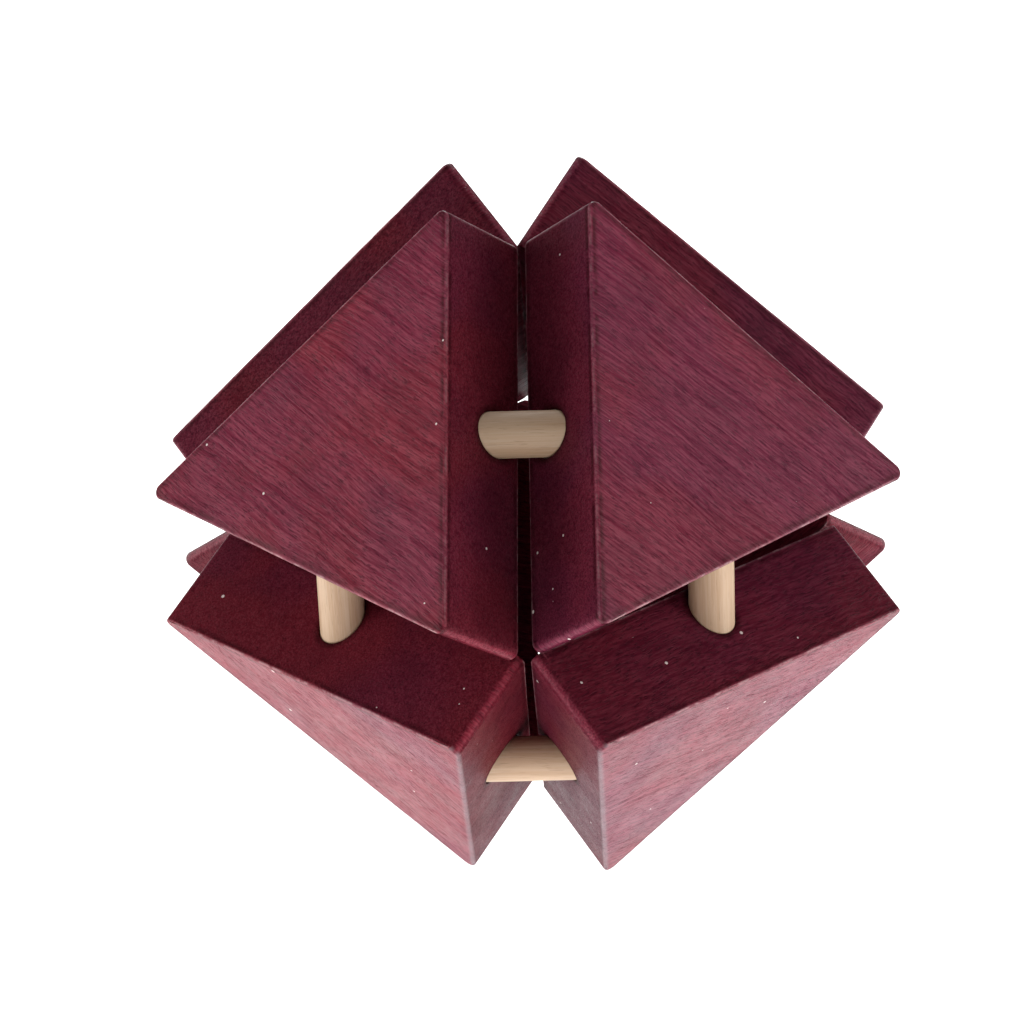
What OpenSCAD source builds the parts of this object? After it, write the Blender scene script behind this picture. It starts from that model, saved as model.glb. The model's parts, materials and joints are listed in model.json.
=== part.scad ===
// Take-apart puzzle: eight equal triangular blocks, one in each corner direction
// of a cube, plugged together by twelve dowels that lie along the cube's edges.
// The middle is empty. The origin is on the floor below the middle, and the
// puzzle stands on the points of its four lower blocks. +Y points to the back.

/* [Blocks] */
// Side of a block's triangle, between its sharp corners
block_side = 48; // [46:1:52]
// Thickness of a block
block_thickness = 12.4; // [11.6:0.1:13]
// Radius that the three corners of the triangle are worn to
corner_radius = 1; // [0.5:0.25:2]
// Gap between two neighbouring blocks, where they come closest
block_gap = 0.2; // [0.2:0.1:2]

/* [Dowels] */
// Diameter of a dowel
dowel_diameter = 5; // [4:0.5:5]
// Length of a dowel
dowel_length = 20; // [16:1:20]
// Bevel on both ends of a dowel
dowel_bevel = 0.4; // [0.2:0.1:0.6]
// Distance from a dowel's axis to each of the two mid-planes beside it
dowel_offset = 19.5; // [19:0.25:20]
// Radial clearance around the half of a dowel that pulls out
dowel_clearance = 0.05; // [0.02:0.01:0.1]
// Empty depth behind each end of a dowel
hole_spare = 0.5; // [0.2:0.1:1]

/* [Play] */
// Share of the sway that hand-drilled holes give the blocks and dowels, 0 for none
sway = 1; // [0:0.25:1]

/* [Hidden] */
$fn = 96;
BLOCK_COLOUR = [0.43, 0.17, 0.22];
DOWEL_COLOUR = [0.80, 0.67, 0.54];

// Name of each block, the octant that it fills, how far it sits off its square
// place in mm, and how it leans about its own point in degrees.
BLOCKS = [
    ["block_upper_front_left", [-1, -1, 1], [0.1, -1, 0.6], [0.4, 0.8, -0.5]],
    ["block_upper_front_right", [1, -1, 1], [0.5, -0.4, 0.9], [0.1, 0, 0]],
    ["block_upper_back_left", [-1, 1, 1], [0, -0.3, -0.1], [0.4, 0.2, -0.2]],
    ["block_upper_back_right", [1, 1, 1], [-0.8, 0.8, -0.2], [1.5, -1.5, 1.4]],
    ["block_lower_front_left", [-1, -1, -1], [-0.5, 0.4, 0], [-0.9, 0, 0.9]],
    ["block_lower_front_right", [1, -1, -1], [0.1, -1.4, 0], [-2, 0.8, -0.9]],
    ["block_lower_back_left", [-1, 1, -1], [0.2, 0.6, 0], [0, 0, 0]],
    ["block_lower_back_right", [1, 1, -1], [0.1, -0.5, 0], [0, 0, 0]],
];

// Name of each dowel, the side of each mid-plane that it lies on, and how far
// its holes were drilled off their square place in mm. A side of 0 stands for
// the mid-plane that the dowel crosses at a right angle.
DOWELS = [
    ["dowel_upper_front", [0, -1, 1], [0, -0.4, 0.4]],
    ["dowel_upper_back", [0, 1, 1], [0, 0, 0]],
    ["dowel_lower_front", [0, -1, -1], [0, -0.7, 0.5]],
    ["dowel_lower_back", [0, 1, -1], [0, 0, 0]],
    ["dowel_upper_left", [-1, 0, 1], [0, 0, 0]],
    ["dowel_upper_right", [1, 0, 1], [0, 0, 0]],
    ["dowel_lower_left", [-1, 0, -1], [0, 0, 0]],
    ["dowel_lower_right", [1, 0, -1], [0, 0, 0]],
    ["dowel_front_left", [-1, -1, 0], [-0.7, 1.4, 0]],
    ["dowel_front_right", [1, -1, 0], [0.2, 0.4, 0]],
    ["dowel_back_left", [-1, 1, 0], [0, 0, 0]],
    ["dowel_back_right", [1, 1, 0], [0, 0, 0]],
];

// A block lies square to one of the cube's long diagonals, so along each axis
// its thickness takes up thickness / sqrt(3), and its side spans side / sqrt(2).
near = block_gap / 2 + block_thickness / sqrt(3);
far = near + block_side / sqrt(2);
inner_face = (2 * near + far) / sqrt(3) - block_thickness;
diagonal_tilt = acos(1 / sqrt(3));

// The rounded point that a block stands on or raises. It stops short of the
// sharp corner by one radius, along [-1, -1, 2] / sqrt(6).
point = [near, near, far] - corner_radius * [-1, -1, 2] / sqrt(6);

CORNERS = [60, 180, 300];
corner_centre = block_side / sqrt(3) - 2 * corner_radius;
dowel_radius = dowel_diameter / 2;
hole_depth = dowel_length / 2 + hole_spare;

function toward(v, octant) = [for (i = [0:2]) v[i] * octant[i]];
// Four of the blocks have their dowels glued in, and no two of them are neighbours.
function glued(octant) = octant[0] * octant[1] * octant[2] > 0;
// A dowel ends in the octants that lie on its side of both mid-planes beside it.
function ends_in(dowel, octant) = dowel[1] * octant == 2;

// Makes its children, drawn in the octant where all is positive, in another one.
module in_octant(octant) {
    mirror([octant[0] < 0 ? 1 : 0, 0, 0])
        mirror([0, octant[1] < 0 ? 1 : 0, 0])
            mirror([0, 0, octant[2] < 0 ? 1 : 0])
                children();
}

// Shifts and leans its children about the point of a block.
module swayed(block) {
    pivot = toward(point, block[1]);
    translate(pivot + sway * block[2])
        rotate(sway * block[3])
            translate(-pivot)
                children();
}

// Triangle with rounded corners, one of them along -X.
module triangle() {
    for (a = CORNERS)
        rotate(a)
            translate([corner_centre, 0])
                circle(r = corner_radius);
    polygon([
        for (a = CORNERS)
            for (side = [a - 60, a + 60])
                corner_centre * [cos(a), sin(a)] + corner_radius * [cos(side), sin(side)]
    ]);
}

// The triangle laid square to the diagonal, its corners towards the three axes.
module slab() {
    rotate([0, diagonal_tilt, 45])
        translate([0, 0, inner_face])
            linear_extrude(block_thickness)
                triangle();
}

// Puts its children, drawn along Z about the origin, where a dowel lies.
module in_place(dowel) {
    side = dowel[1];
    translate(dowel_offset * side + sway * dowel[2])
        rotate([side[1] == 0 ? 90 : 0, side[0] == 0 ? 90 : 0, 0])
            children();
}

// The three holes of a block, each drilled from the block across the gap.
module holes(octant) {
    radius = dowel_radius + (glued(octant) ? 0 : dowel_clearance);
    for (d = DOWELS)
        if (ends_in(d, octant))
            in_place(d)
                cylinder(r = radius, h = 2 * hole_depth, center = true);
}

module block(block) {
    color(BLOCK_COLOUR)
        translate([0, 0, point[2]])
            difference() {
                swayed(block)
                    in_octant(block[1])
                        slab();
                holes(block[1]);
            }
}

module dowel(dowel) {
    end = dowel_length / 2;
    color(DOWEL_COLOUR)
        translate([0, 0, point[2]])
            in_place(dowel)
                rotate_extrude()
                    polygon([
                        [0, -end],
                        [dowel_radius - dowel_bevel, -end],
                        [dowel_radius, dowel_bevel - end],
                        [dowel_radius, end - dowel_bevel],
                        [dowel_radius - dowel_bevel, end],
                        [0, end]
                    ]);
}

for (b = BLOCKS)
    block(b);
for (d = DOWELS)
    dowel(d);
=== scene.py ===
import json
import math

import bmesh
import bpy
from mathutils import Matrix, Vector, noise


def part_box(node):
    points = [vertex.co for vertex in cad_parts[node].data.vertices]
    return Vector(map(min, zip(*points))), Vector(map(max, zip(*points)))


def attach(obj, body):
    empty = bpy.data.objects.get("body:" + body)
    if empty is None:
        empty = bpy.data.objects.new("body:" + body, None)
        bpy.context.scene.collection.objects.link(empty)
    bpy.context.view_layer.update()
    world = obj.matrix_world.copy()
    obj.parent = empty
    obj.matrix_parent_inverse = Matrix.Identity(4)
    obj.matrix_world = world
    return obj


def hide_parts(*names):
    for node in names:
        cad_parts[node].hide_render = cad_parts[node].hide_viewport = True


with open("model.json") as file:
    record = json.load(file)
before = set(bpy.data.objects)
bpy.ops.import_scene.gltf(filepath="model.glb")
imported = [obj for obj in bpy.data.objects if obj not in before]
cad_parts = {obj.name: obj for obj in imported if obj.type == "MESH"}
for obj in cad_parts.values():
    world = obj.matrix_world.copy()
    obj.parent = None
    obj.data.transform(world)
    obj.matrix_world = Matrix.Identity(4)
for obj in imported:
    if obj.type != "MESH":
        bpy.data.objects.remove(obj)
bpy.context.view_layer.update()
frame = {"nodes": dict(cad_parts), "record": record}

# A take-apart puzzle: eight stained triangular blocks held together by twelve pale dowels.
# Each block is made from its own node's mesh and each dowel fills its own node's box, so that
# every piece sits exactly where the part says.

MM = 0.001
UP = Vector((0, 0, 1))
CENTRE = Vector((0, 0, sum(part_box("dowel_back_left"), Vector()).z / 2))


def rgb(red, green, blue):
    return (red, green, blue, 1)


# Camera: where the puzzle is looked at from, and how the picture is framed.
LENS = 130.64
SENSOR = 36
DISTANCE = 416.7 * MM
ELEVATION = 25.89
AZIMUTH = 1.87
ROLL = -2.36
FRAMING = (-2.01 * MM, 1.04 * MM)

# Studio: a bright floor, a dim sky and dim softboxes that all aim at the middle of the puzzle.
FLOOR_RADIUS = 2.5
FLOOR_STEPS = 96
FLOOR_GLOW = 1.5
WORLD_LIGHT = 0.3
BOX_AWAY = 1.0
BOX_SIZE = 0.45

# Where each softbox stands and how bright it is: azimuth and elevation in degrees, power in watts.
SOFTBOXES = {
    "left_softbox": (-80, 12, 2.9),
    "right_softbox": (80, 12, 2.7),
    "back_softbox": (180, 34, 7.0),
}

# Blocks: how far their edges are rounded.
RIM_ROUNDING = 0.30 * MM
INNER_ROUNDING = 0.12 * MM
MOUTH_ROUNDING = 0.22 * MM
ROUNDING_STEPS = 3

# Blocks: how their faces and edges are told apart in a mesh.
SAME_POINT = 0.001 * MM
SHARP = math.radians(25)
FLAT = math.radians(0.4)
FACING = 0.97
TOUCHING = 0.02 * MM

# Blocks: how uneven the hand-sanded wood is.
CUT_SPACING = 1.6 * MM
CUT_SNAP = 0.002 * MM
WAVE_DEPTH = 0.035 * MM
WAVE_LENGTH = 9 * MM
NICK_DEPTH = 0.10 * MM
NICK_LENGTH = 1.3 * MM
NICK_REACH = 0.55 * MM
NICK_START = 0.25
NORMAL_WEIGHT = 60

# Which way the grain runs on each block, in degrees in the plane of its big face,
# from the direction that leads away from the block's upper or lower tip.
GRAIN = {
    "block_upper_front_left": 81,
    "block_upper_front_right": 34,
    "block_upper_back_left": 64,
    "block_upper_back_right": 148,
    "block_lower_front_left": 23,
    "block_lower_front_right": 83,
    "block_lower_back_left": 121,
    "block_lower_back_right": 35,
}

# How each block took the stain: tone (1 is the middle), how purple, how much sheen.
STAIN = {
    "block_upper_front_left": (1.10, 0.46, 0.68),
    "block_upper_front_right": (1.08, 0.80, 0.85),
    "block_upper_back_left": (1.10, 0.40, 0.90),
    "block_upper_back_right": (1.20, 0.75, 1.30),
    "block_lower_front_left": (1.18, 0.36, 0.62),
    "block_lower_front_right": (1.14, 0.65, 0.98),
    "block_lower_back_left": (1.05, 0.45, 0.95),
    "block_lower_back_right": (1.25, 0.45, 1.0),
}

# Stain colours, each with its red and its purple end.
STAIN_MIDDLE = (rgb(0.200, 0.0150, 0.0250), rgb(0.158, 0.0160, 0.0430))
STAIN_DARK = (rgb(0.078, 0.0060, 0.0120), rgb(0.066, 0.0080, 0.0230))
STAIN_LIGHT = (rgb(0.330, 0.0420, 0.0580), rgb(0.270, 0.0420, 0.0820))
RIM_LINE_DARK = rgb(0.050, 0.004, 0.008)
MOUTH_RING_DARK = rgb(0.030, 0.003, 0.004)
# Rim colours: rubbed-off stain and also a painted highlight; the greyer one is a painted reflection of the
# floor on the lower blocks' rims along the middle gap.
WORN_AND_HIGHLIT_WOOD = rgb(0.72, 0.47, 0.48)
BARE_AND_HIGHLIT_WOOD = rgb(0.25, 0.185, 0.205)
DUST = rgb(0.90, 0.80, 0.76)
BLOCK_BUMP = 0.03 * MM

# How much stain is rubbed off the outer rims along the middle gap, and how strong the painted highlight on
# them is (1 is as on the other rims).
GAP_RIM = 1.2 * MM
RUB_AND_HIGHLIGHT_UPPER = 0.35
RUB_AND_HIGHLIGHT_LOWER = 1.4
RUB_AND_HIGHLIGHT_ELSEWHERE = 1.0

# Lacquer. The narrow sides drank more stain and kept less lacquer than the big outer faces,
# and the inner faces kept as little of it. The sides' darker colour is also painted shade, for the grooves
# between the blocks.
LACQUER_IOR = 1.3
SIDE_STAIN_AND_SHADE = 0.58
FULL_SHEEN = 0.5
DULL_SHEEN = 0.12

# Dowels: how finely their meshes are made, and how uneven the turned wood is.
DOWEL_STEPS = 64
DOWEL_RING = 0.5 * MM
DOWEL_BEVEL = 0.4 * MM
BEVEL_STEPS = 4
DOWEL_SHARP = math.radians(50)
DOWEL_WAVE = 0.02 * MM
DOWEL_WAVE_ACROSS = 0.9 * MM
DOWEL_WAVE_ALONG = 12 * MM

DOWEL_PALE = rgb(0.67, 0.465, 0.305)
DOWEL_WARM = rgb(0.58, 0.375, 0.23)
DOWEL_FIBRE = rgb(0.74, 0.57, 0.41)
DOWEL_PORE = rgb(0.40, 0.22, 0.12)
DOWEL_IOR = 1.45
DOWEL_BUMP = 0.02 * MM

# How far apart two pieces lie in the noise, so that no two of them have the same grain or dents.
BLOCK_DENTS = Vector((31.7, 12.9, 7.3))
BLOCK_PLANK = Vector((137.0, 61.0, 23.0))
DOWEL_DENTS = Vector((17.3, 5.1, 9.7))
DOWEL_PLANK = Vector((91.0, 47.0, 19.0))


# ---- shader helpers -------------------------------------------------------

class Shader:
    """A material's nodes, made by short calls."""

    def __init__(self, name):
        self.material = bpy.data.materials.new(name)
        self.material.use_nodes = True
        self.tree = self.material.node_tree
        self.tree.nodes.clear()

    def node(self, kind, inputs=None, **settings):
        made = self.tree.nodes.new(kind)
        for key, value in settings.items():
            setattr(made, key, value)
        for key, value in (inputs or {}).items():
            self.put(made.inputs[key], value)
        return made

    def put(self, socket, value):
        if isinstance(value, bpy.types.NodeSocket):
            self.tree.links.new(value, socket)
        else:
            socket.default_value = value

    def math(self, operation, a, b=0.0, clamp=False):
        made = self.node("ShaderNodeMath", {0: a, 1: b}, operation=operation)
        made.use_clamp = clamp
        return made.outputs[0]

    def product(self, first, *others):
        for value in others:
            first = self.math("MULTIPLY", first, value)
        return first

    def total(self, *weighted):
        """The sum of some values, each of them times its weight."""
        parts = [self.math("MULTIPLY", value, weight) for value, weight in weighted]
        amount = parts[0]
        for part in parts[1:]:
            amount = self.math("ADD", amount, part)
        return amount

    def vector(self, operation, a, b=(0, 0, 0), scale=None):
        made = self.node("ShaderNodeVectorMath", {0: a, 1: b}, operation=operation)
        if scale is not None:
            self.put(made.inputs["Scale"], scale)
        return made.outputs["Value" if operation == "LENGTH" else "Vector"]

    def number(self, name):
        """One value that the mesh keeps for each of its points."""
        return self.node("ShaderNodeAttribute", attribute_name=name).outputs["Fac"]

    def triple(self, name):
        """Three values that the mesh keeps for each of its points."""
        return self.node("ShaderNodeAttribute", attribute_name=name).outputs["Vector"]

    def ramp(self, value, low, high, out_low=0.0, out_high=1.0, kind="SMOOTHSTEP"):
        """value from low to high becomes out_low to out_high."""
        settings = {0: value, 1: low, 2: high, 3: out_low, 4: out_high}
        return self.node("ShaderNodeMapRange", settings, interpolation_type=kind).outputs[0]

    def noise(self, at, stretch=(1, 1, 1), scale=1.0, detail=2.0, rough=0.5):
        place = self.vector("MULTIPLY", at, stretch)
        inputs = {"Vector": place, "Scale": scale, "Detail": detail, "Roughness": rough}
        return self.node("ShaderNodeTexNoise", inputs).outputs["Fac"]

    def mix(self, amount, a, b):
        made = self.node("ShaderNodeMix", data_type="RGBA")
        self.put(made.inputs[0], amount)
        self.put(made.inputs[6], a)
        self.put(made.inputs[7], b)
        return made.outputs[2]

    def swayed(self, raw, across, over=0.0):
        """Places in the plank, shifted so that the grain sways by that much as it runs along."""
        shift = self.node("ShaderNodeCombineXYZ", {1: across, 2: over})
        return self.vector("ADD", raw, shift.outputs[0])

    def bump(self, height, distance):
        inputs = {"Height": height, "Strength": 1.0, "Distance": distance}
        return self.node("ShaderNodeBump", inputs).outputs[0]

    def finish(self, inputs):
        surface = self.node("ShaderNodeBsdfPrincipled", inputs)
        output = self.node("ShaderNodeOutputMaterial")
        self.tree.links.new(surface.outputs[0], output.inputs["Surface"])
        return self.material


# ---- stained wood ---------------------------------------------------------

def distance_to_side(s):
    """Millimetres from the nearest of a block's three narrow sides."""
    side = s.node("ShaderNodeSeparateXYZ", {0: s.triple("sides")})
    return s.math("MINIMUM", s.math("MINIMUM", side.outputs[0], side.outputs[1]), side.outputs[2])


def depth_left(s):
    """Millimetres from a block's inner face."""
    return s.math("SUBTRACT", s.number("thickness"), s.number("depth"))


def distance_to_rim(s, side):
    """Millimetres from the nearest rounded rim of a block's big faces."""
    face = s.math("MINIMUM", s.number("depth"), depth_left(s))
    return s.math("SQRT", s.math("ADD", s.math("POWER", side, 2), s.math("POWER", face, 2)))


def distance_to_bore(s):
    """Millimetres from the middle line of the nearest of a block's three dowels."""
    far = [s.vector("LENGTH", s.triple(f"bore_{axis}")) for axis in "xyz"]
    return s.math("MINIMUM", s.math("MINIMUM", far[0], far[1]), far[2])


def wood_grain(s, raw):
    """The layers of a block's grain, from the finest pores to the broadest streaks."""
    sway = s.math("SUBTRACT", s.noise(raw, (0.06, 0.08, 0.08), detail=1), 0.5)
    ripple = s.math("SUBTRACT", s.noise(raw, (0.30, 0.12, 0.12), detail=1), 0.5)
    wood = s.swayed(raw, s.product(sway, 2.4), s.product(ripple, 0.6))
    return {
        "pores": s.ramp(s.noise(wood, (0.85, 6.5, 6.5), detail=2, rough=0.45), 0.55, 0.66),
        "long pores": s.ramp(s.noise(wood, (0.24, 4.6, 4.6), detail=1), 0.66, 0.74),
        "short": s.noise(wood, (1.1, 4.8, 4.8), detail=2, rough=0.55),
        "fibres": s.noise(wood, (0.11, 4.2, 4.2), detail=4, rough=0.6),
        "streaks": s.noise(wood, (0.03, 1.3, 1.3), detail=3, rough=0.6),
    }


def stain_colour(s, raw, grain, tone, purple):
    """The stained wood before any wear: lighter fibres, darker pores, and purple patches."""
    mottle = s.noise(raw, (0.13, 0.16, 0.16), detail=3, rough=0.55)
    patches = s.noise(raw, (0.05, 0.06, 0.06), detail=2)
    purple = s.math("ADD", purple, s.ramp(patches, 0.42, 0.62, -0.14, 0.32), clamp=True)
    dark = s.mix(purple, *STAIN_DARK)
    lit = s.ramp(grain["fibres"], 0.36, 0.66, 0.0, 0.75)
    colour = s.mix(lit, s.mix(purple, *STAIN_MIDDLE), s.mix(purple, *STAIN_LIGHT))
    darker = [
        s.ramp(grain["streaks"], 0.50, 0.68, 0.0, 0.28),
        s.ramp(mottle, 0.42, 0.68, 0.0, 0.26),
        s.ramp(grain["short"], 0.52, 0.64, 0.0, 0.36),
        s.product(grain["pores"], 0.58),
        s.product(grain["long pores"], 0.40),
    ]
    for amount in darker:
        colour = s.mix(amount, colour, dark)
    return s.vector("SCALE", colour, scale=tone)


def wear_and_highlight_rims(s, colour, rim, uneven):
    """Rubs the stain off the rims and paints a lighter highlight on them, beside a thin darker line."""
    rubbed_and_highlit = s.number("rubbed_and_highlit")
    line = s.product(s.ramp(rim, 0.25, 0.5), s.ramp(rim, 0.55, 1.1, 1, 0), s.ramp(rubbed_and_highlit, 0.9, 1.2, 1, 0))
    dark_line = s.product(line, s.ramp(uneven, 0.35, 0.6, 0.15, 0.75))
    colour = s.mix(dark_line, colour, RIM_LINE_DARK)
    # The lighter rims are partly worn wood and partly a painted highlight; where strongest, on the lower
    # blocks along the middle gap, it is a painted reflection of the floor.
    strong_band = s.ramp(rubbed_and_highlit, 1.0, 1.3)
    reach = s.ramp(strong_band, 0, 1, 0.34, 0.70, "LINEAR")
    least = s.ramp(strong_band, 0, 1, 0.25, 0.80, "LINEAR")
    worn_and_highlit = s.product(s.ramp(rim, 0.06, reach, 1, 0), s.ramp(uneven, 0.46, 0.60, least, 1.0))
    return s.mix(s.product(worn_and_highlit, rubbed_and_highlit, 0.56), colour, s.mix(strong_band, WORN_AND_HIGHLIT_WOOD, BARE_AND_HIGHLIT_WOOD))


def darken_mouth_rings(s, colour, side, uneven):
    """Darkens the wood in a ring around the holes."""
    ring = s.product(s.ramp(distance_to_bore(s), 2.6, 3.5, 1, 0), s.ramp(side, 0.5, 2.5, 1, 0))
    return s.mix(s.product(ring, s.ramp(uneven, 0.3, 0.6, 0.5, 1.0), 0.75), colour, MOUTH_RING_DARK)


def dust_specks(s, raw):
    """1 on scattered specks of dust of different sizes, 0 elsewhere."""
    specks = s.node("ShaderNodeTexVoronoi", {"Vector": raw, "Scale": 0.36}, feature="F1")
    size = s.node("ShaderNodeSeparateColor", {0: specks.outputs["Color"]}).outputs[0]
    reach = s.ramp(size, 0.55, 1.0, 0.01, 0.075, "LINEAR")
    return s.math("LESS_THAN", specks.outputs["Distance"], reach)


def lacquer_roughness(s, raw, grain, dust):
    gloss = s.noise(raw, (0.25, 0.25, 0.25), detail=3, rough=0.6)
    return s.total(
        (s.ramp(gloss, 0.3, 0.7, 0.30, 0.42, "LINEAR"), 1.0),
        (grain["pores"], 0.14),
        (s.ramp(grain["fibres"], 0.35, 0.7), 0.07),
        (dust, 0.3),
    )


def lacquer_sheen(s, grain, sheen, dull):
    """How strongly the lacquer mirrors: streaky along the grain, and weak where it is thin."""
    fine = s.ramp(grain["fibres"], 0.36, 0.66, 0.55, 1.25)
    broad = s.ramp(grain["streaks"], 0.40, 0.66, 0.22, -0.22)
    thin = s.ramp(dull, 0, 1, FULL_SHEEN, DULL_SHEEN, "LINEAR")
    return s.product(sheen, s.math("ADD", fine, broad), thin)


def stained_wood():
    """Fine-grained hardwood under a purple-red stain and a thin satin lacquer."""
    s = Shader("stained_wood")
    raw = s.triple("wood")
    tone, purple, sheen = s.node("ShaderNodeSeparateXYZ", {0: s.triple("stain")}).outputs
    grain = wood_grain(s, raw)
    dust = dust_specks(s, raw)
    uneven = s.noise(raw, scale=0.55, detail=3, rough=0.6)
    side = distance_to_side(s)
    rim = distance_to_rim(s, side)
    on_side = s.product(s.ramp(side, 0.1, 0.35, 1, 0), s.ramp(s.number("depth"), 0.15, 0.5))
    inside = s.ramp(depth_left(s), 0.1, 0.4, 1, 0)

    colour = stain_colour(s, raw, grain, tone, purple)
    colour = wear_and_highlight_rims(s, colour, rim, uneven)
    colour = darken_mouth_rings(s, colour, side, uneven)
    # The narrow sides are darker partly for their stain and partly as painted shade, where they face each
    # other across the grooves between the blocks.
    colour = s.vector("SCALE", colour, scale=s.ramp(on_side, 0, 1, 1.0, SIDE_STAIN_AND_SHADE, "LINEAR"))
    colour = s.mix(s.product(dust, 0.9), colour, DUST)
    height = s.total((grain["pores"], -1.0), (grain["fibres"], 0.55), (grain["short"], -0.45), (dust, 1.2))
    return s.finish({
        "Base Color": colour,
        "Roughness": lacquer_roughness(s, raw, grain, dust),
        "Normal": s.bump(height, BLOCK_BUMP),
        "IOR": LACQUER_IOR,
        "Specular IOR Level": lacquer_sheen(s, grain, sheen, s.math("MAXIMUM", on_side, inside)),
    })


# ---- other materials ------------------------------------------------------

def dowel_wood():
    """Pale, straight-grained turned wood, left bare."""
    s = Shader("dowel_wood")
    raw = s.triple("wood")
    sway = s.math("SUBTRACT", s.noise(raw, (0.09, 0.09, 0.09), detail=1), 0.5)
    wood = s.swayed(raw, s.product(sway, 0.5))
    fibres = s.noise(wood, (0.14, 5.5, 5.5), detail=4, rough=0.62)
    bands = s.noise(wood, (0.03, 0.9, 0.9), detail=2)
    pores = s.ramp(s.noise(wood, (0.5, 9, 9), detail=2), 0.60, 0.72)
    colour = s.mix(s.ramp(bands, 0.35, 0.65), DOWEL_PALE, DOWEL_WARM)
    colour = s.mix(s.ramp(fibres, 0.40, 0.68, 0, 0.45), colour, DOWEL_FIBRE)
    colour = s.mix(s.product(pores, 0.32), colour, DOWEL_PORE)
    return s.finish({
        "Base Color": colour,
        "Roughness": s.ramp(fibres, 0.3, 0.7, 0.44, 0.62, "LINEAR"),
        "Normal": s.bump(s.total((fibres, 0.7), (pores, -1.0)), DOWEL_BUMP),
        "IOR": DOWEL_IOR,
    })


def pale_floor():
    """A matt pale floor that glows, so that it stays white under the dim lights."""
    s = Shader("pale_floor")
    fine = s.noise(s.node("ShaderNodeTexCoord").outputs["Object"], scale=900, detail=3)
    return s.finish({
        "Base Color": s.mix(s.ramp(fine, 0.3, 0.7), rgb(0.44, 0.44, 0.44), rgb(0.47, 0.47, 0.47)),
        "Roughness": 0.9,
        "IOR": 1.1,
        "Emission Color": rgb(1, 1, 1),
        "Emission Strength": FLOOR_GLOW,
    })


# ---- pieces ---------------------------------------------------------------

def link(name, data):
    made = bpy.data.objects.new(name, data)
    bpy.context.scene.collection.objects.link(made)
    return made


def new_piece(name, bm, material, body):
    mesh = bpy.data.meshes.new(name)
    bm.to_mesh(mesh)
    bm.free()
    mesh.materials.append(material)
    mesh.shade_smooth()
    piece = link(name, mesh)
    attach(piece, body)
    return piece


def store(mesh, name, kind, values):
    """Keeps one value for each point of a mesh, for its material to read."""
    layer = mesh.attributes.new(name, kind, "POINT")
    if kind == "FLOAT":
        layer.data.foreach_set("value", values)
    else:
        layer.data.foreach_set("vector", [x for v in values for x in v])


def long_axis(size):
    return max(range(3), key=lambda i: size[i])


# ---- blocks ---------------------------------------------------------------

def octant(name):
    """The corner of the cube that a block stands in, as signs along X, Y and Z."""
    return Vector((
        1 if name.endswith("right") else -1,
        1 if "back" in name else -1,
        1 if "upper" in name else -1,
    ))


def dowels_of(name):
    """The three dowels that end in a block: each shares two of the block's three words."""
    words = name.split("_")[1:]
    return ["dowel_" + "_".join(w for w in words if w != left_out) for left_out in words]


def plane_of(bm, facing):
    """The flat side of a mesh that faces that way: its true normal, and how far out it lies."""
    faces = [f for f in bm.faces if f.normal.dot(facing) > FACING]
    normal = sum((f.normal * f.calc_area() for f in faces), Vector()).normalized()
    out = max(v.co.dot(normal) for f in faces for v in f.verts)
    return normal, out


def planes_of(bm, corner):
    """A block's outer face, its inner face and its sides towards the gaps across X, Y and Z."""
    outer = plane_of(bm, corner.normalized())
    inner = plane_of(bm, -corner.normalized())
    sides = []
    for axis in range(3):
        away = -corner.normalized()
        away[axis] *= -2
        sides.append(plane_of(bm, -away.normalized()))
    return outer, inner, sides


def lies_in(edge, planes):
    """True for an edge whose middle lies in one of the planes."""
    middle = (edge.verts[0].co + edge.verts[1].co) / 2
    return any(abs(middle.dot(normal) - out) < TOUCHING for normal, out in planes)


def round_edges(bm, planes, reach):
    """Rounds the sharp edges that lie in the planes."""
    sharp = [e for e in bm.edges if len(e.link_faces) == 2 and e.calc_face_angle() > SHARP]
    bmesh.ops.bevel(
        bm,
        geom=[e for e in sharp if lies_in(e, planes)],
        offset=reach,
        offset_type="OFFSET",
        segments=ROUNDING_STEPS,
        profile=0.5,
        affect="EDGES",
        clamp_overlap=False,
        loop_slide=True,
    )


def cut_finely(bm, planes):
    """Cuts a mesh along evenly spaced planes, so that its flat faces can be made uneven."""
    for normal, out in planes:
        low = min(v.co.dot(normal) for v in bm.verts)
        steps = int((out - low) / CUT_SPACING)
        for i in range(1, steps + 1):
            place = normal * (out - i * CUT_SPACING)
            geom = bm.verts[:] + bm.edges[:] + bm.faces[:]
            bmesh.ops.bisect_plane(bm, geom=geom, dist=CUT_SNAP, plane_co=place, plane_no=normal)


def make_uneven(bm, outer, sides, number):
    """Sinks points a little, in slow waves over the faces and in small nicks along the outer rims."""
    bm.normal_update()
    away = BLOCK_DENTS * number
    for v in bm.verts:
        nearest_side = min(out - v.co.dot(normal) for normal, out in sides)
        depth = outer[1] - v.co.dot(outer[0])
        rim = math.hypot(nearest_side, depth)
        sink = WAVE_DEPTH * (0.5 + 0.5 * noise.noise(v.co / WAVE_LENGTH + away))
        nick = noise.noise(v.co / NICK_LENGTH - away)
        if rim < NICK_REACH and nick > NICK_START:
            sink += NICK_DEPTH * (nick - NICK_START) / (1 - NICK_START) * (1 - rim / NICK_REACH)
        v.co -= v.normal * sink


def plank_places(points, name, normal, away, number):
    """Where each point lies in the plank that the block was cut from, in millimetres."""
    turn = math.radians(GRAIN[name])
    along = away * math.cos(turn) + normal.cross(away) * math.sin(turn)
    over = normal.cross(along)
    plank = BLOCK_PLANK * number
    return [Vector((p.dot(along), p.dot(over), p.dot(normal))) / MM + plank for p in points]


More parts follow.
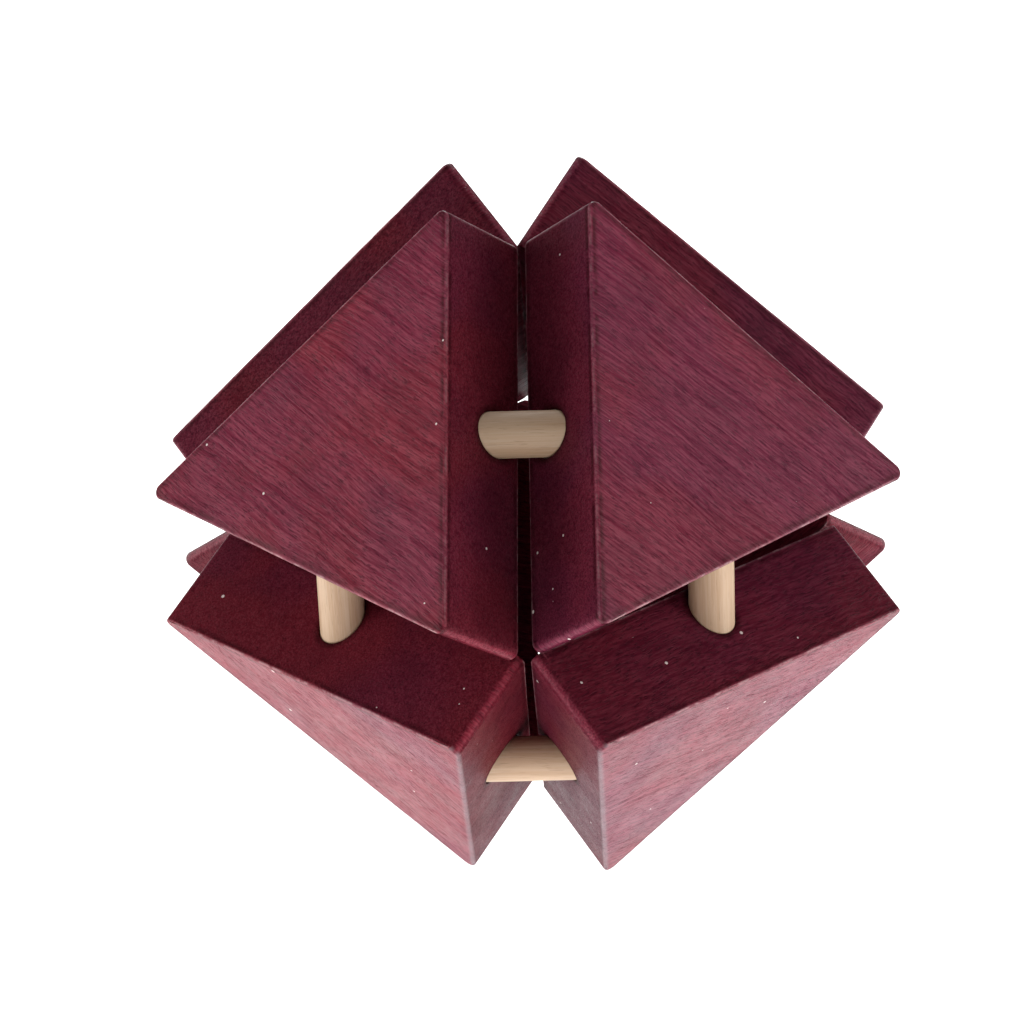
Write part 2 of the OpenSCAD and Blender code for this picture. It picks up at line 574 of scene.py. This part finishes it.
def rubbed_and_highlit_rims(points, name, outer, gap_side):
    """How strongly the rims near each point are rubbed and carry a painted highlight."""
    at_gap = RUB_AND_HIGHLIGHT_UPPER if "upper" in name else RUB_AND_HIGHLIGHT_LOWER
    far = [max(out - p.dot(normal) for normal, out in (gap_side, outer)) for p in points]
    return [at_gap if distance < GAP_RIM else RUB_AND_HIGHLIGHT_ELSEWHERE for distance in far]


def describe_wood(mesh, name, outer, inner, sides, number):
    """Stores what the stained wood's material has to know about each point of a block."""
    points = [v.co.copy() for v in mesh.vertices]
    thickness = (outer[1] + inner[1]) / MM
    store(mesh, "wood", "FLOAT_VECTOR", plank_places(points, name, outer[0], sides[2][0], number))
    store(mesh, "sides", "FLOAT_VECTOR", [[(out - p.dot(n)) / MM for n, out in sides] for p in points])
    store(mesh, "depth", "FLOAT", [(outer[1] - p.dot(outer[0])) / MM for p in points])
    store(mesh, "thickness", "FLOAT", [thickness] * len(points))
    store(mesh, "stain", "FLOAT_VECTOR", [STAIN[name]] * len(points))
    store(mesh, "rubbed_and_highlit", "FLOAT", rubbed_and_highlit_rims(points, name, outer, sides[0]))
    for other in dowels_of(name):
        low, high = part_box(other)
        axis = long_axis(high - low)
        keep = Vector([0.0 if i == axis else 1.0 for i in range(3)])
        middle = (low + high) / 2
        store(mesh, "bore_" + "xyz"[axis], "FLOAT_VECTOR", [(p - middle) * keep / MM for p in points])


def block(name, body, material, number):
    """A drilled triangular block with softened edges, cut from its node's mesh."""
    bm = bmesh.new()
    bm.from_mesh(frame["nodes"][name].data)
    bmesh.ops.remove_doubles(bm, verts=bm.verts, dist=SAME_POINT)
    outer, inner, sides = planes_of(bm, octant(name))
    bmesh.ops.dissolve_limit(bm, angle_limit=FLAT, verts=bm.verts, edges=bm.edges)
    round_edges(bm, [outer], RIM_ROUNDING)
    round_edges(bm, [inner], INNER_ROUNDING)
    round_edges(bm, sides, MOUTH_ROUNDING)
    bmesh.ops.triangulate(bm, faces=bm.faces)
    cut_finely(bm, [outer] + sides)
    make_uneven(bm, outer, sides, number)
    piece = new_piece("wood_" + name, bm, material, body)
    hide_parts(name)
    describe_wood(piece.data, name, outer, inner, sides, number)
    shade = piece.modifiers.new("shading", "WEIGHTED_NORMAL")
    shade.mode = "FACE_AREA_WITH_ANGLE"
    shade.weight = NORMAL_WEIGHT


# ---- dowels ---------------------------------------------------------------

def dowel_profile(length, radius):
    """Height and radius of each ring of a dowel, from its upper end to its lower end."""
    half = length / 2
    straight = length - 2 * DOWEL_BEVEL
    count = round(straight / DOWEL_RING)
    turns = [math.radians(90 * i / BEVEL_STEPS) for i in range(BEVEL_STEPS + 1)]
    bevel = [(1 - math.sin(a), 1 - math.cos(a)) for a in turns]
    end = [(half - DOWEL_BEVEL * down, radius - DOWEL_BEVEL * inward) for down, inward in bevel]
    middle = [(half - DOWEL_BEVEL - straight * i / count, radius) for i in range(1, count)]
    return end[::-1] + middle + [(-height, wide) for height, wide in end]


def rod(length, radius):
    """The closed mesh of a dowel that stands along Z about the origin."""
    bm = bmesh.new()
    turns = [2 * math.pi * i / DOWEL_STEPS for i in range(DOWEL_STEPS)]
    rings = []
    for height, wide in dowel_profile(length, radius):
        rings.append([bm.verts.new((wide * math.cos(a), wide * math.sin(a), height)) for a in turns])
    around = [(i, (i + 1) % DOWEL_STEPS) for i in range(DOWEL_STEPS)]
    for upper, lower in zip(rings, rings[1:]):
        for i, j in around:
            bm.faces.new((upper[i], lower[i], lower[j], upper[j]))
    top = bm.verts.new((0, 0, length / 2))
    for i, j in around:
        bm.faces.new((top, rings[0][i], rings[0][j]))
    bottom = bm.verts.new((0, 0, -length / 2))
    for i, j in around:
        bm.faces.new((bottom, rings[-1][j], rings[-1][i]))
    return bm


def turn_unevenly(bm, number):
    """Sinks points a little, in long waves along the rod."""
    bm.normal_update()
    away = DOWEL_DENTS * number
    for v in bm.verts:
        across = v.co.xy / DOWEL_WAVE_ACROSS
        place = Vector((across.x, across.y, v.co.z / DOWEL_WAVE_ALONG))
        v.co -= v.normal * DOWEL_WAVE * (0.5 + 0.5 * noise.noise(place + away))


def dowel(name, body, material, number):
    """A turned rod with softened ends, along the longest side of its node's box."""
    low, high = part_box(name)
    size = high - low
    axis = long_axis(size)
    bm = rod(size[axis], min(size) / 2)
    turn_unevenly(bm, number)
    plank = DOWEL_PLANK * number
    wood = [Vector((v.co.z, v.co.x, v.co.y)) / MM + plank for v in bm.verts]
    lay = UP.rotation_difference(Vector([1.0 if i == axis else 0.0 for i in range(3)]))
    place = Matrix.Translation((low + high) / 2) @ lay.to_matrix().to_4x4()
    bmesh.ops.transform(bm, matrix=place, verts=bm.verts)
    piece = new_piece("wood_" + name, bm, material, body)
    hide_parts(name)
    store(piece.data, "wood", "FLOAT_VECTOR", wood)
    piece.data.set_sharp_from_angle(angle=DOWEL_SHARP)


# ---- studio ---------------------------------------------------------------

def direction(azimuth, elevation):
    """From the puzzle towards a viewer at those angles in degrees; 0, 0 is straight in front."""
    a = math.radians(azimuth)
    e = math.radians(elevation)
    return Vector((math.sin(a) * math.cos(e), -math.cos(a) * math.cos(e), math.sin(e)))


def studio_floor():
    bm = bmesh.new()
    bmesh.ops.create_circle(bm, cap_ends=True, cap_tris=False, segments=FLOOR_STEPS, radius=FLOOR_RADIUS)
    mesh = bpy.data.meshes.new("studio_floor")
    bm.to_mesh(mesh)
    bm.free()
    mesh.materials.append(pale_floor())
    floor = link("studio_floor", mesh)


def softbox(name, azimuth, elevation, power):
    light = bpy.data.lights.new(name, "AREA")
    light.shape = "SQUARE"
    light.size = BOX_SIZE
    light.energy = power
    lamp = link(name, light)
    back = direction(azimuth, elevation)
    lamp.location = CENTRE + back * BOX_AWAY
    lamp.rotation_mode = "QUATERNION"
    lamp.rotation_quaternion = back.to_track_quat("Z", "Y")


def studio_light():
    world = bpy.data.worlds.new("studio")
    world.use_nodes = True
    sky = world.node_tree.nodes["Background"]
    sky.inputs["Color"].default_value = rgb(1, 1, 1)
    sky.inputs["Strength"].default_value = WORLD_LIGHT
    bpy.context.scene.world = world
    for name, (azimuth, elevation, power) in SOFTBOXES.items():
        softbox(name, azimuth, elevation, power)


def studio_camera():
    data = bpy.data.cameras.new("camera")
    data.lens = LENS
    data.sensor_width = SENSOR
    camera = link("camera", data)
    roll = math.radians(ROLL)
    back = direction(AZIMUTH, ELEVATION)
    level = UP.cross(back).normalized()
    upright = back.cross(level)
    right = level * math.cos(roll) + upright * math.sin(roll)
    top = upright * math.cos(roll) - level * math.sin(roll)
    camera.rotation_mode = "QUATERNION"
    camera.rotation_quaternion = Matrix((right, top, back)).transposed().to_quaternion()
    camera.location = CENTRE + back * DISTANCE + right * FRAMING[0] + top * FRAMING[1]
    bpy.context.scene.camera = camera


def build():
    blocks = stained_wood()
    dowels = dowel_wood()
    number = 0
    for body, nodes in frame["record"]["behaviour"]["bodies"].items():
        for name in nodes:
            number += 1
            if name.startswith("block"):
                block(name, body, blocks, number)
            else:
                dowel(name, body, dowels, number)


build()
studio_floor()
studio_light()
studio_camera()
bpy.context.scene.view_settings.view_transform = "Standard"
